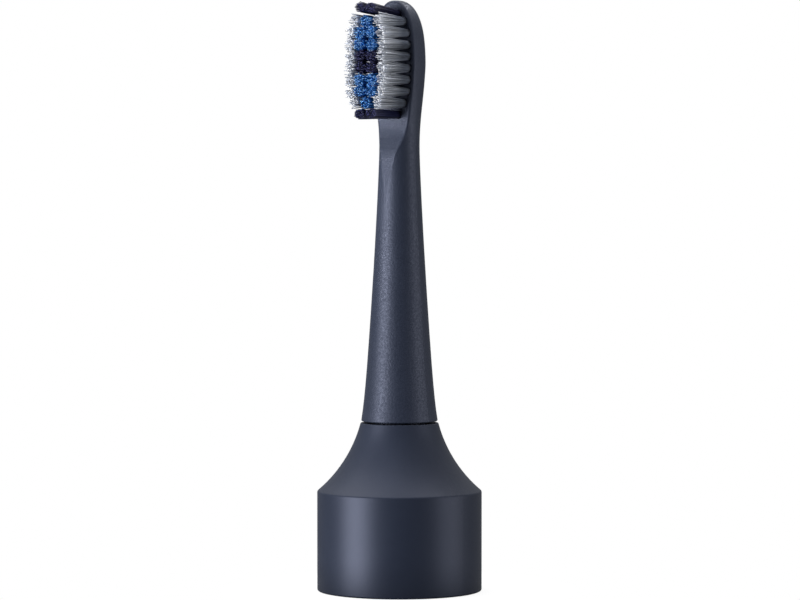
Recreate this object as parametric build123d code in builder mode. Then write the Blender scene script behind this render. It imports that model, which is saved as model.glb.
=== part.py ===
from build123d import *

# Electric toothbrush head: a push-on brush on a drive adapter that clicks onto a power handle.
# Millimetres. +Z is up along the shaft, the bristles point along -Y, and the origin is the centre
# of the rim that the head stands on.

import os
from math import cos, pi, sin, sqrt

os.makedirs("parts", exist_ok=True)

# Fits, all as a gap on each side
PRESS_FIT = 0.01
RUNNING_FIT = 0.03
SLIDING_FIT = 0.05
LOOSE_FIT = 0.3

# Adapter: skirt and flared cone
SKIRT_RADIUS = 18.5
SKIRT_WALL = 2.0
SHOULDER_HEIGHT = 22.4
ADAPTER_HEIGHT = 37.75
ADAPTER_NECK_RADIUS = 8.75
CONE_ARC_RADIUS = 30.0
ROOF_THICKNESS = 2.0
RIM_FILLET = 0.4
SHOULDER_FILLET = 0.6
ADAPTER_NECK_FILLET = 0.2
COLLAR_RISE = 0.2
COLLAR_WALL = 1.0
COLLAR_FILLET = 0.1

# Brush: seam, stem, neck and head
SEAM_GAP = 0.4
BRUSH_HEIGHT = 94.25
FOOT_STEP = 0.13
FOOT_FILLET = 0.25
FOOT_FLARE = 0.45
FOOT_FLARE_POWER = 12
STEM_TAPER_POWER = 1.25
NECK_RADIUS = 4.53
NECK_DROP = 33.4
LOFT_START_DROP = 37.4
HEAD_START_DROP = 32.3
HEAD_MIDDLE_DROP = 13.9
HEAD_HALF_WIDTH = 6.15
HEAD_BACK = 3.9
HEAD_FRONT = 6.0
HEAD_FULLNESS = 0.85
ROUND_FULLNESS = 0.5523
TOP_WIDTH_POWER = 2.3
TOP_DEPTH_POWER = 2.8

# Where the sections of stem and head lie: shares of a stretch, and turns in degrees over the rounded top
STEM_SHARES = (0, 0.035, 0.08, 0.15, 0.25, 0.42, 0.6, 0.8, 1)
NECK_SHARES = (0.3, 0.6, 1)
HEAD_SHARES = (0.22, 0.44, 0.66, 0.86)
TOP_TURNS = (8, 25, 42, 57, 70, 80, 86)

# Front face of the head, which the tufts stand on
PLATE_FRONT = 2.4
FACET_FRONT = 3.0
FACET_START_DROP = 26.9
FACET_END_DROP = 30.86
RUN_OUT_START_DROP = 35.2
RUN_OUT_END_DROP = 42.4
RUN_OUT_DEPTH = 0.38
RUN_OUT_CLEARANCE = 0.05
CUT_MARGIN = 1.0
PLATE_EDGE_FILLET = 0.6

# Tufts
ROW_COUNT = 10
ROW_PITCH = 2.6
LAST_ROW_DROP = 2.2
INNER_COLUMN = 1.64
SIDE_COLUMN_MARGIN = 1.75
FIELD_HALF_LENGTH = 9.9
FIELD_POWER = 4
TUFT_SIDES = 12
TUFT_RADIUS = 0.9
TUFT_HOLE_DEPTH = 2.8
TUFT_LENGTH = 9.6
TIP_ROUNDING = 0.5
TIP_SHRINK = 0.8
TIP_HALF_HEIGHT = 1.25
SIDE_TIP_HALF_WIDTH = 1.08
INNER_TIP_HALF_WIDTH = 1.42
END_TIP_HALF_WIDTH = 1.4
END_TIP_HALF_HEIGHT = 1.05
TOP_ROW_INSET = 0.9
TOP_TUFT_LEAN = 1.25
BOTTOM_TUFT_LEAN = 0.15
ANCHOR_WIDTH = 1.6
ANCHOR_THICKNESS = 0.35
ANCHOR_DEPTH = 1.2

# Inside of the brush
CAVITY_FOOT_WALL = 2.02
CAVITY_TOP_WALL = 2.54
CAVITY_DEPTH = 26.0
RIB_COUNT = 4
RIB_THICKNESS = 1.2
RIB_START_RISE = 8.0

# Output shaft, swing lever and pivot
SHAFT_RADIUS = 2.4
SHAFT_GRIP = 11.0
SHAFT_FLAT = 1.65
SHAFT_CHAMFER = 0.4
PIVOT_PIN_RADIUS = 1.2
LEVER_SIDE_WALL = 1.1
LEVER_END_WALL = 2.2
LEVER_TOP_WALL = 1.3
LEVER_HEADROOM = 0.65
LEVER_FILLET = 0.5
LEVER_FLOOR = 2.0
FORK_HALF_DEPTH = 3.0
FORK_RUN_CLEARANCE = 0.4

# Socket cup, coupling and crank
CUP_BOTTOM = 1.0
CUP_GAP = 0.15
CUP_WALL = 1.75
SOCKET_LENGTH = 5.0
CUP_FLOOR = 2.0
KEY_COUNT = 3
KEY_TURN = 30
KEY_WIDTH = 5.0
KEY_DEPTH = 0.8
SEAL_GROOVE_DEPTH = 1.05
COUPLING_RADIUS = 4.3
COUPLING_RECESS = 0.1
DRIVE_SOCKET_RADIUS = 2.3
DRIVE_SOCKET_LENGTH = 5.0
DRIVE_KEY_WIDTH = 1.2
DRIVE_KEY_DEPTH = 0.8
COUPLING_FLOOR = 1.6
JOURNAL_RADIUS = 2.2
BRIDGE_THICKNESS = 2.5
BUSH_WALL = 0.9
BUSH_FLANGE_RADIUS = 4.2
BUSH_FLANGE_THICKNESS = 0.7
END_PLAY = 0.1
CRANK_DISC_RADIUS = 3.6
CRANK_DISC_THICKNESS = 1.5
CRANK_PIN_RADIUS = 1.2
CRANK_PIN_LENGTH = 4.0
CRANK_THROW = 0.15
CRANK_STEM_RADIUS = 1.1

# Chassis
CHEEK_THICKNESS = 2.2
CHEEK_HALF_WIDTH = 2.6
CHASSIS_GAP = 0.4

# Screws and bosses
SCREW_COUNT = 3
SCREW_RADIUS = 0.95
SCREW_HEAD_RADIUS = 1.75
SCREW_HEAD_HEIGHT = 1.1
SCREW_SINK = 0.1
SCREW_LENGTH = 5.5
SCREW_HEAD_MARGIN = 0.4
SCREW_WALL = 0.7
SCREW_RECESS_LENGTH = 2.1
SCREW_RECESS_WIDTH = 0.5
SCREW_RECESS_DEPTH = 0.6
BOSS_TURN = 90
BOSS_RADIUS = 2.2
BOSS_HEIGHT = 11.0
BOSS_RIB = 1.4
CHASSIS_SCREW_TURN = 30

# Shaft seal and its retainer
SEAL_SEAT_WALL = 1.55
SEAL_FLANGE_WIDTH = 1.6
SEAL_FLANGE_THICKNESS = 1.5
SEAL_LEDGE = 0.6
SEAL_WEB_DROP = 0.55
SEAL_WEB_THICKNESS = 0.6
SEAL_LIP_GAP = 0.22
SEAL_LIP_WALL = 0.7
SEAL_LIP_TOP_DROP = 0.35
RETAINER_THICKNESS = 1.6

# Heights that follow from the sizes above
brush_foot = ADAPTER_HEIGHT + SEAM_GAP
brush_top = brush_foot + BRUSH_HEIGHT
neck_height = brush_top - NECK_DROP
loft_start = brush_top - LOFT_START_DROP
head_start = brush_top - HEAD_START_DROP
head_middle = brush_top - HEAD_MIDDLE_DROP
facet_start = brush_top - FACET_START_DROP
facet_end = brush_top - FACET_END_DROP
run_out_start = brush_top - RUN_OUT_START_DROP
run_out_end = brush_top - RUN_OUT_END_DROP
last_row = brush_top - LAST_ROW_DROP
first_row = last_row - ROW_PITCH * (ROW_COUNT - 1)
field_middle = (first_row + last_row) / 2
cavity_top = brush_foot + CAVITY_DEPTH
shaft_top = cavity_top + SHAFT_GRIP
cup_floor_bottom = CUP_BOTTOM + SOCKET_LENGTH
cup_top = cup_floor_bottom + CUP_FLOOR
coupling_bottom = cup_floor_bottom + COUPLING_RECESS
coupling_top = coupling_bottom + DRIVE_SOCKET_LENGTH + COUPLING_FLOOR
bridge_bottom = coupling_top + LOOSE_FIT
bridge_top = bridge_bottom + BRIDGE_THICKNESS
bush_top = bridge_top + BUSH_FLANGE_THICKNESS
disc_bottom = bush_top + END_PLAY
disc_top = disc_bottom + CRANK_DISC_THICKNESS
crank_pin_top = disc_top + CRANK_PIN_LENGTH
fork_bottom = disc_top + FORK_RUN_CLEARANCE
fork_top = crank_pin_top + FORK_RUN_CLEARANCE
shaft_bottom = fork_top + LEVER_FLOOR
lever_half_width = SHAFT_RADIUS + LEVER_SIDE_WALL
lever_half_depth = SHAFT_RADIUS + LEVER_END_WALL
cheek_inside = lever_half_depth + CHASSIS_GAP
cheek_outside = cheek_inside + CHEEK_THICKNESS
roof_bottom = ADAPTER_HEIGHT - ROOF_THICKNESS
collar_top = ADAPTER_HEIGHT + COLLAR_RISE
seal_flange_bottom = roof_bottom - SEAL_FLANGE_THICKNESS
retainer_bottom = seal_flange_bottom - RETAINER_THICKNESS
seal_seat_bottom = retainer_bottom - LOOSE_FIT / 2
lever_top = retainer_bottom - LEVER_HEADROOM
pivot_height = lever_top - LEVER_TOP_WALL - PIVOT_PIN_RADIUS
boss_top = cup_top + BOSS_HEIGHT

# Radii that follow from the skirt inwards, from the coupling outwards and from the neck inwards
skirt_bore = SKIRT_RADIUS - SKIRT_WALL
cup_radius = skirt_bore - CUP_GAP
socket_radius = cup_radius - CUP_WALL
boss_circle = socket_radius - SCREW_HEAD_MARGIN - SCREW_HEAD_RADIUS
drive_port_radius = COUPLING_RADIUS + LOOSE_FIT
chassis_screw_circle = drive_port_radius + SCREW_HEAD_MARGIN + SCREW_HEAD_RADIUS
chassis_radius = chassis_screw_circle + SCREW_RADIUS + SCREW_WALL
bush_radius = JOURNAL_RADIUS + RUNNING_FIT + BUSH_WALL
foot_radius = ADAPTER_NECK_RADIUS - FOOT_STEP
seal_seat_radius = ADAPTER_NECK_RADIUS - SEAL_SEAT_WALL
seal_flange_inner = seal_seat_radius - SEAL_FLANGE_WIDTH
shaft_port_radius = seal_flange_inner - SEAL_LEDGE
collar_radius = shaft_port_radius + COLLAR_WALL

# Each crank turn moves the fork by the throw both ways. The fork's slot is opened by twice the throw,
# so that crank and lever can each be turned by itself.
fork_slot = CRANK_PIN_RADIUS + 2 * CRANK_THROW + SLIDING_FIT

# The cone's outer arc is centred outside the adapter, and the inner wall runs round the same centre.
cone_start = Vector(SKIRT_RADIUS, SHOULDER_HEIGHT)
cone_end = Vector(ADAPTER_NECK_RADIUS, ADAPTER_HEIGHT)
cone_chord = cone_end - cone_start
cone_reach = sqrt(CONE_ARC_RADIUS**2 - (cone_chord.length / 2) ** 2)
cone_normal = Vector(cone_chord.Y, -cone_chord.X).normalized()
cone_centre = (cone_start + cone_end) / 2 + cone_normal * cone_reach
cone_inner_radius = CONE_ARC_RADIUS + SKIRT_WALL


def inner_cone_radius(height):
    """Inner radius of the cone's wall at a height."""
    return cone_centre.X - sqrt(cone_inner_radius**2 - (cone_centre.Y - height) ** 2)


def inner_cone_height(radius):
    """Height of the cone's inner wall at a radius."""
    return cone_centre.Y - sqrt(cone_inner_radius**2 - (cone_centre.X - radius) ** 2)


def stem_radius(height):
    """Radius of the round stem: a taper with a flare at its foot."""
    share = max(0, (neck_height - height) / (neck_height - brush_foot))
    taper = (foot_radius - NECK_RADIUS - FOOT_FLARE) * share**STEM_TAPER_POWER
    return NECK_RADIUS + taper + FOOT_FLARE * share**FOOT_FLARE_POWER


def blend(start, end, share):
    """A value that eases from start to end."""
    return start + (end - start) * share * share * (3 - 2 * share)


def side_column(height):
    """Distance of the outer tufts from the middle, on an oval."""
    share = abs(height - field_middle) / FIELD_HALF_LENGTH
    return (HEAD_HALF_WIDTH - SIDE_COLUMN_MARGIN) * (1 - share**FIELD_POWER) ** (1 / FIELD_POWER)


# Stations of the head from the neck to its top: height, half width, front, back, fullness of the corners.
stations = []
for share in NECK_SHARES:
    height = loft_start + (head_start - loft_start) * share
    radius = stem_radius(height)
    stations.append((height, radius, -radius, radius, ROUND_FULLNESS))
for share in HEAD_SHARES:
    stations.append(
        (
            head_start + (head_middle - head_start) * share,
            blend(NECK_RADIUS, HEAD_HALF_WIDTH, share),
            -blend(NECK_RADIUS, HEAD_FRONT, share),
            blend(NECK_RADIUS, HEAD_BACK, share),
            blend(ROUND_FULLNESS, HEAD_FULLNESS, share),
        )
    )
head_axis = (HEAD_BACK - HEAD_FRONT) / 2
head_depth = (HEAD_BACK + HEAD_FRONT) / 2
for turn in TOP_TURNS:
    rise = sin(turn * pi / 180) ** (2 / TOP_WIDTH_POWER)
    width = HEAD_HALF_WIDTH * (1 - rise**TOP_WIDTH_POWER) ** (1 / TOP_WIDTH_POWER)
    depth = head_depth * (1 - rise**TOP_DEPTH_POWER) ** (1 / TOP_DEPTH_POWER)
    height = head_middle + (brush_top - head_middle) * rise
    stations.append((height, width, head_axis - depth, head_axis + depth, HEAD_FULLNESS))

# Places of the tufts on the front face: rows from the neck up, by colour.
grey_places, blue_places, centre_places, end_places = [], [], [], []
for row in range(ROW_COUNT):
    height = first_row + ROW_PITCH * row
    if row == ROW_COUNT - 1:
        height -= TOP_ROW_INSET
    pair = [(-INNER_COLUMN, height), (INNER_COLUMN, height)]
    if row in (0, ROW_COUNT - 1):
        end_places += pair
        continue
    grey_places += [(-side_column(height), height), (side_column(height), height)]
    if row in (1, ROW_COUNT - 2):
        blue_places.append((0, height))
    elif row in (ROW_COUNT // 2 - 1, ROW_COUNT // 2):
        centre_places += pair
    else:
        blue_places += pair
all_places = grey_places + blue_places + centre_places + end_places


def face_plane(across, depth, height):
    """Plane across the bristles, facing out of the head, at a depth in front of the shaft axis."""
    return Plane(origin=(across, -depth, height), x_dir=(1, 0, 0), z_dir=(0, -1, 0))


hole_bottom = PLATE_FRONT - TUFT_HOLE_DEPTH
tip_depth = PLATE_FRONT + TUFT_LENGTH

# Brush body
with BuildPart() as brush_body:
    # Round stem
    with BuildSketch(Plane.XZ):
        with BuildLine():
            heights = [brush_foot + (loft_start - brush_foot) * share for share in STEM_SHARES]
            side = Spline(*[(stem_radius(height), height) for height in heights])
            Polyline(side @ 1, (0, loft_start), (0, brush_foot), side @ 0)
        make_face()
    revolve(axis=Axis.Z)
    # Head, lofted from the round neck
    with BuildSketch(Plane.XY.offset(loft_start)):
        with BuildLine():
            for quarter in range(4):
                CenterArc((0, 0), stem_radius(loft_start), 90 * quarter, 90)
        make_face()
    for height, half_width, front, back, fullness in stations:
        middle = (front + back) / 2
        side_y = fullness * (back - front) / 2
        end_x = fullness * half_width
        right = (half_width, middle)
        left = (-half_width, middle)
        with BuildSketch(Plane.XY.offset(height)):
            with BuildLine():
                Bezier(right, (half_width, middle + side_y), (end_x, back), (0, back))
                Bezier((0, back), (-end_x, back), (-half_width, middle + side_y), left)
                Bezier(left, (-half_width, middle - side_y), (-end_x, front), (0, front))
                Bezier((0, front), (end_x, front), (half_width, middle - side_y), right)
            make_face()
    loft()
    # Flat front face, the hollow by which its foot leans out, and a flat that fades into the stem
    with BuildSketch(Plane.YZ):
        with BuildLine():
            far = -HEAD_FRONT - CUT_MARGIN
            above = brush_top + CUT_MARGIN
            face_top = (-PLATE_FRONT, above)
            face_foot = (-PLATE_FRONT, facet_start)
            facet_foot = (-FACET_FRONT, facet_end)
            run_out_head = Vector(RUN_OUT_DEPTH - stem_radius(run_out_start), run_out_start)
            run_out_foot = Vector(-RUN_OUT_CLEARANCE - stem_radius(run_out_end), run_out_end)
            Line(face_top, face_foot)
            Spline(face_foot, facet_foot, run_out_head, tangents=[(0, -1), run_out_foot - run_out_head])
            Polyline(run_out_head, run_out_foot, (far, run_out_end), (far, above), face_top)
        make_face()
    extrude(amount=HEAD_HALF_WIDTH * 2, both=True, mode=Mode.SUBTRACT)
    cut_edges = brush_body.edges(Select.LAST).filter_by(Axis.X, reverse=True)
    fillet(cut_edges.filter_by_position(Axis.Y, far, -PLATE_FRONT + PRESS_FIT), PLATE_EDGE_FILLET)
    fillet(brush_body.edges().group_by(Axis.Z)[0], FOOT_FILLET)
    # Hollow foot with ribs that steady the shaft, and the flatted hole that grips it
    cavity_foot_radius = foot_radius - CAVITY_FOOT_WALL
    cavity_top_radius = stem_radius(cavity_top) - CAVITY_TOP_WALL
    with BuildSketch(Plane.XZ):
        Polygon(
            (0, brush_foot),
            (cavity_foot_radius, brush_foot),
            (cavity_top_radius, cavity_top),
            (0, cavity_top),
            align=None,
        )
    revolve(axis=Axis.Z, mode=Mode.SUBTRACT)
    rib_inside = SHAFT_RADIUS + LOOSE_FIT
    rib_outside = cavity_foot_radius - LOOSE_FIT
    with BuildSketch(Plane.XY.offset(brush_foot + RIB_START_RISE)):
        with PolarLocations((rib_inside + rib_outside) / 2, RIB_COUNT):
            Rectangle(rib_outside - rib_inside, RIB_THICKNESS)
    extrude(amount=CAVITY_DEPTH - RIB_START_RISE)
    with BuildSketch(Plane.XY.offset(cavity_top)):
        Circle(SHAFT_RADIUS + SLIDING_FIT)
        with Locations((0, SHAFT_FLAT + SLIDING_FIT)):
            Rectangle(4 * SHAFT_RADIUS, SHAFT_RADIUS, align=(Align.CENTER, Align.MIN), mode=Mode.SUBTRACT)
    extrude(amount=SHAFT_GRIP + LOOSE_FIT, mode=Mode.SUBTRACT)
    # Tuft holes
    with BuildSketch(face_plane(0, hole_bottom, 0)):
        with Locations(*all_places):
            Circle(TUFT_RADIUS + PRESS_FIT)
    extrude(amount=TUFT_HOLE_DEPTH, mode=Mode.SUBTRACT)
brush_body.part.label = "brush_body"
export_step(brush_body.part, "parts/brush_body.step")


def oval(half_width, half_height):
    """Corners of a many-sided oval, light enough to repeat."""
    turns = [2 * pi * side / TUFT_SIDES for side in range(TUFT_SIDES)]
    return [(half_width * cos(turn), half_height * sin(turn)) for turn in turns]


def tuft_sections(across, height, half_width, half_height, lean=0):
    """Sections of one tuft: a round root in its hole, a bundle that spreads, and a rounded tip."""
    with BuildSketch(face_plane(across, hole_bottom, height)) as root:
        Polygon(*oval(TUFT_RADIUS, TUFT_RADIUS), align=None)
    with BuildSketch(face_plane(across, PLATE_FRONT, height)) as collar:
        Polygon(*oval(TUFT_RADIUS, TUFT_RADIUS), align=None)
    with BuildSketch(face_plane(across, tip_depth - TIP_ROUNDING, height + lean)) as brim:
        Polygon(*oval(half_width, half_height), align=None)
    with BuildSketch(face_plane(across, tip_depth, height + lean)) as tip:
        Polygon(*oval(half_width * TIP_SHRINK, half_height * TIP_SHRINK), align=None)
    return root.sketch, collar.sketch, brim.sketch, tip.sketch


# Outer tufts
with BuildPart() as grey_side_tufts:
    for across, height in grey_places:
        loft(tuft_sections(across, height, SIDE_TIP_HALF_WIDTH, TIP_HALF_HEIGHT), ruled=True)
    with BuildSketch(face_plane(0, hole_bottom, 0)):
        with Locations(*grey_places):
            Rectangle(ANCHOR_WIDTH + 2 * PRESS_FIT, ANCHOR_THICKNESS + 2 * PRESS_FIT)
    extrude(amount=ANCHOR_DEPTH + PRESS_FIT, mode=Mode.SUBTRACT)
grey_side_tufts.part.label = "grey_side_tufts"
export_step(grey_side_tufts.part, "parts/grey_side_tufts.step")

# Blue tufts
with BuildPart() as blue_tufts:
    for across, height in blue_places:
        loft(tuft_sections(across, height, INNER_TIP_HALF_WIDTH, TIP_HALF_HEIGHT), ruled=True)
    with BuildSketch(face_plane(0, hole_bottom, 0)):
        with Locations(*blue_places):
            Rectangle(ANCHOR_WIDTH + 2 * PRESS_FIT, ANCHOR_THICKNESS + 2 * PRESS_FIT)
    extrude(amount=ANCHOR_DEPTH + PRESS_FIT, mode=Mode.SUBTRACT)
blue_tufts.part.label = "blue_tufts"
export_step(blue_tufts.part, "parts/blue_tufts.step")

# Dark tufts at the centre of the field
with BuildPart() as navy_centre_tufts:
    for across, height in centre_places:
        loft(tuft_sections(across, height, INNER_TIP_HALF_WIDTH, TIP_HALF_HEIGHT), ruled=True)
    with BuildSketch(face_plane(0, hole_bottom, 0)):
        with Locations(*centre_places):
            Rectangle(ANCHOR_WIDTH + 2 * PRESS_FIT, ANCHOR_THICKNESS + 2 * PRESS_FIT)
    extrude(amount=ANCHOR_DEPTH + PRESS_FIT, mode=Mode.SUBTRACT)
navy_centre_tufts.part.label = "navy_centre_tufts"
export_step(navy_centre_tufts.part, "parts/navy_centre_tufts.step")

# Dark tufts at both ends, which lean towards the top
with BuildPart() as navy_end_tufts:
    for across, height in end_places:
        lean = TOP_TUFT_LEAN if height > field_middle else BOTTOM_TUFT_LEAN
        loft(tuft_sections(across, height, END_TIP_HALF_WIDTH, END_TIP_HALF_HEIGHT, lean), ruled=True)
    with BuildSketch(face_plane(0, hole_bottom, 0)):
        with Locations(*end_places):
            Rectangle(ANCHOR_WIDTH + 2 * PRESS_FIT, ANCHOR_THICKNESS + 2 * PRESS_FIT)
    extrude(amount=ANCHOR_DEPTH + PRESS_FIT, mode=Mode.SUBTRACT)
navy_end_tufts.part.label = "navy_end_tufts"
export_step(navy_end_tufts.part, "parts/navy_end_tufts.step")

# Metal plates that each tuft is folded round
with BuildPart() as tuft_anchors:
    with BuildSketch(face_plane(0, hole_bottom + PRESS_FIT, 0)):
        with Locations(*all_places):
            Rectangle(ANCHOR_WIDTH, ANCHOR_THICKNESS)
    extrude(amount=ANCHOR_DEPTH - PRESS_FIT)
tuft_anchors.part.label = "tuft_anchors"
export_step(tuft_anchors.part, "parts/tuft_anchors.step")

# Adapter housing, with a collar on its roof that keeps splashes from the shaft
with BuildPart() as adapter_housing:
    with BuildSketch(Plane.XZ):
        with BuildLine():
            shoulder = (SKIRT_RADIUS, SHOULDER_HEIGHT)
            neck = (ADAPTER_NECK_RADIUS, ADAPTER_HEIGHT)
            inner_top = (inner_cone_radius(seal_seat_bottom), seal_seat_bottom)
            inner_foot = (skirt_bore, inner_cone_height(skirt_bore))
            Polyline((skirt_bore, 0), (SKIRT_RADIUS, 0), shoulder)
            RadiusArc(shoulder, neck, CONE_ARC_RADIUS)
            Polyline(
                neck,
                (collar_radius, ADAPTER_HEIGHT),
                (collar_radius, collar_top),
                (shaft_port_radius, collar_top),
                (shaft_port_radius, roof_bottom),
                (seal_seat_radius, roof_bottom),
                (seal_seat_radius, seal_seat_bottom),
                inner_top,
            )
            RadiusArc(inner_top, inner_foot, -cone_inner_radius)
            Line(inner_foot, (skirt_bore, 0))
        make_face()
    revolve(axis=Axis.Z)
    rim_edges = adapter_housing.edges().group_by(Axis.Z)[0]
    fillet(rim_edges.sort_by(SortBy.LENGTH)[-1], RIM_FILLET)
    fillet(adapter_housing.edges().group_by(Axis.Z)[-1].sort_by(SortBy.LENGTH)[-1], COLLAR_FILLET)
    for height, radius in ((ADAPTER_HEIGHT, ADAPTER_NECK_FILLET), (SHOULDER_HEIGHT, SHOULDER_FILLET)):
        edges = adapter_housing.edges().filter_by_position(Axis.Z, height - PRESS_FIT, height + PRESS_FIT)
        fillet(edges.sort_by(SortBy.LENGTH)[-1], radius)
    # Screw bosses, each tied to the skirt by a rib
    rib_length = skirt_bore + SKIRT_WALL / 2 - boss_circle
    with BuildSketch(Plane.XY.offset(cup_top)):
        with PolarLocations(boss_circle, SCREW_COUNT, start_angle=BOSS_TURN):
            Circle(BOSS_RADIUS)
            Rectangle(rib_length, BOSS_RIB, align=(Align.MIN, Align.CENTER))
        with PolarLocations(boss_circle, SCREW_COUNT, start_angle=BOSS_TURN):
            Circle(SCREW_RADIUS + PRESS_FIT, mode=Mode.SUBTRACT)
    extrude(amount=boss_top - cup_top)
adapter_housing.part.label = "adapter_housing"
export_step(adapter_housing.part, "parts/adapter_housing.step")

# Socket cup, which the handle's boss plugs into
groove_radius = cup_radius - SEAL_GROOVE_DEPTH
seal_wire = (skirt_bore - groove_radius) / 2 - PRESS_FIT
seal_height = (cup_floor_bottom + cup_top) / 2
with BuildPart() as socket_cup:
    with BuildSketch(Plane.XZ):
        Polygon(
            (drive_port_radius, cup_floor_bottom),
            (socket_radius, cup_floor_bottom),
            (socket_radius, CUP_BOTTOM),
            (cup_radius, CUP_BOTTOM),
            (cup_radius, seal_height - seal_wire - SLIDING_FIT),
            (groove_radius, seal_height - seal_wire - SLIDING_FIT),
            (groove_radius, seal_height + seal_wire + SLIDING_FIT),
            (cup_radius, seal_height + seal_wire + SLIDING_FIT),
            (cup_radius, cup_top),
            (drive_port_radius, cup_top),
            align=None,
        )
    revolve(axis=Axis.Z)
    with BuildSketch(Plane.XY.offset(CUP_BOTTOM)):
        with PolarLocations(socket_radius, KEY_COUNT, start_angle=KEY_TURN):
            Rectangle(2 * KEY_DEPTH, KEY_WIDTH)
    extrude(amount=SOCKET_LENGTH, mode=Mode.SUBTRACT)
    with Locations(Plane(origin=(0, 0, cup_floor_bottom), z_dir=(0, 0, -1))):
        for circle, turn in ((boss_circle, BOSS_TURN), (chassis_screw_circle, CHASSIS_SCREW_TURN)):
            with PolarLocations(circle, SCREW_COUNT, start_angle=turn):
                CounterBoreHole(
                    SCREW_RADIUS + SLIDING_FIT,
                    SCREW_HEAD_RADIUS + SLIDING_FIT,
                    SCREW_SINK + SCREW_HEAD_HEIGHT,
                    CUP_FLOOR,
                )
socket_cup.part.label = "socket_cup"
export_step(socket_cup.part, "parts/socket_cup.step")

# Ring seal round the cup
with BuildPart() as cup_seal:
    with BuildSketch(Plane.XZ):
        with Locations((groove_radius + PRESS_FIT + seal_wire, seal_height)):
            Rectangle(2 * seal_wire, 2 * seal_wire)
    revolve(axis=Axis.Z)
cup_seal.part.label = "cup_seal"
export_step(cup_seal.part, "parts/cup_seal.step")

# Chassis: a ring base, a bridge for the bush and two cheeks for the pivot
with BuildPart() as chassis:
    with BuildSketch(Plane.XY.offset(cup_top)):
        Circle(chassis_radius)
        Circle(drive_port_radius, mode=Mode.SUBTRACT)
    extrude(amount=bridge_bottom - cup_top)
    with BuildSketch(Plane.XY.offset(bridge_bottom)):
        Circle(chassis_radius)
        Circle(bush_radius + PRESS_FIT, mode=Mode.SUBTRACT)
    extrude(amount=BRIDGE_THICKNESS)
    with BuildSketch(Plane.XZ.offset(cheek_inside)):
        with Locations((0, bridge_bottom)):
            Rectangle(2 * CHEEK_HALF_WIDTH, pivot_height - bridge_bottom, align=(Align.CENTER, Align.MIN))
        with Locations((0, pivot_height)):
            Circle(CHEEK_HALF_WIDTH)
            Circle(PIVOT_PIN_RADIUS + PRESS_FIT, mode=Mode.SUBTRACT)
    extrude(amount=CHEEK_THICKNESS)
    mirror(about=Plane.XZ)
    with BuildSketch(Plane.XY.offset(cup_top)):
        with PolarLocations(chassis_screw_circle, SCREW_COUNT, start_angle=CHASSIS_SCREW_TURN):
            Circle(SCREW_RADIUS + PRESS_FIT)
    extrude(amount=bridge_bottom - cup_top, mode=Mode.SUBTRACT)
chassis.part.label = "chassis"
export_step(chassis.part, "parts/chassis.step")

# Pivot pin
with BuildPart() as pivot_pin:
    with BuildSketch(Plane.XZ):
        with Locations((0, pivot_height)):
            Circle(PIVOT_PIN_RADIUS)
    extrude(amount=cheek_outside, both=True)
pivot_pin.part.label = "pivot_pin"
export_step(pivot_pin.part, "parts/pivot_pin.step")

# Swing lever with its fork
with BuildPart() as swing_lever:
    with BuildSketch(Plane.XY.offset(fork_top)):
        RectangleRounded(2 * lever_half_width, 2 * lever_half_depth, LEVER_FILLET)
    extrude(amount=lever_top - fork_top)
    with BuildSketch(Plane.XY.offset(fork_bottom)):
        Rectangle(2 * lever_half_width, 2 * FORK_HALF_DEPTH)
        Rectangle(2 * fork_slot, 2 * FORK_HALF_DEPTH, mode=Mode.SUBTRACT)
    extrude(amount=fork_top - fork_bottom)
    with BuildSketch(Plane.XY.offset(shaft_bottom)):
        Circle(SHAFT_RADIUS + PRESS_FIT)
    extrude(amount=lever_top - shaft_bottom, mode=Mode.SUBTRACT)
    with BuildSketch(Plane.XZ):
        with Locations((0, pivot_height)):
            Circle(PIVOT_PIN_RADIUS + RUNNING_FIT)
    extrude(amount=lever_half_depth, both=True, mode=Mode.SUBTRACT)
swing_lever.part.label = "swing_lever"
export_step(swing_lever.part, "parts/swing_lever.step")

# Output shaft, drilled for the pivot pin and flatted where the brush grips it
with BuildPart() as output_shaft:
    with BuildSketch(Plane.XY.offset(shaft_bottom + PRESS_FIT)):
        Circle(SHAFT_RADIUS)
    extrude(amount=shaft_top - shaft_bottom - PRESS_FIT)
    chamfer(output_shaft.edges().group_by(Axis.Z)[-1], SHAFT_CHAMFER)
    with BuildSketch(Plane.XY.offset(cavity_top - LOOSE_FIT)):
        with Locations((0, SHAFT_FLAT)):
            Rectangle(4 * SHAFT_RADIUS, SHAFT_RADIUS, align=(Align.CENTER, Align.MIN))
    extrude(amount=SHAFT_GRIP + 2 * LOOSE_FIT, mode=Mode.SUBTRACT)
    with BuildSketch(Plane.XZ):
        with Locations((0, pivot_height)):
            Circle(PIVOT_PIN_RADIUS + SLIDING_FIT)
    extrude(amount=2 * SHAFT_RADIUS, both=True, mode=Mode.SUBTRACT)
output_shaft.part.label = "output_shaft"
export_step(output_shaft.part, "parts/output_shaft.step")

# Drive coupling: keyed socket below, journal above, drilled for the crank's stem
stem_bottom = coupling_top - COUPLING_FLOOR / 2
with BuildPart() as drive_coupling:
    with BuildSketch(Plane.XY.offset(coupling_bottom)):
        Circle(COUPLING_RADIUS)
    extrude(amount=coupling_top - coupling_bottom)
    with BuildSketch(Plane.XY.offset(coupling_top)):
        Circle(JOURNAL_RADIUS)
    extrude(amount=disc_bottom - coupling_top)
    with BuildSketch(Plane.XY.offset(coupling_bottom)):
        Circle(DRIVE_SOCKET_RADIUS)
        Rectangle(2 * (DRIVE_SOCKET_RADIUS + DRIVE_KEY_DEPTH), DRIVE_KEY_WIDTH)
    extrude(amount=DRIVE_SOCKET_LENGTH, mode=Mode.SUBTRACT)
    with BuildSketch(Plane.XY.offset(stem_bottom)):
        Circle(CRANK_STEM_RADIUS + PRESS_FIT)
    extrude(amount=disc_bottom - stem_bottom, mode=Mode.SUBTRACT)
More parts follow.
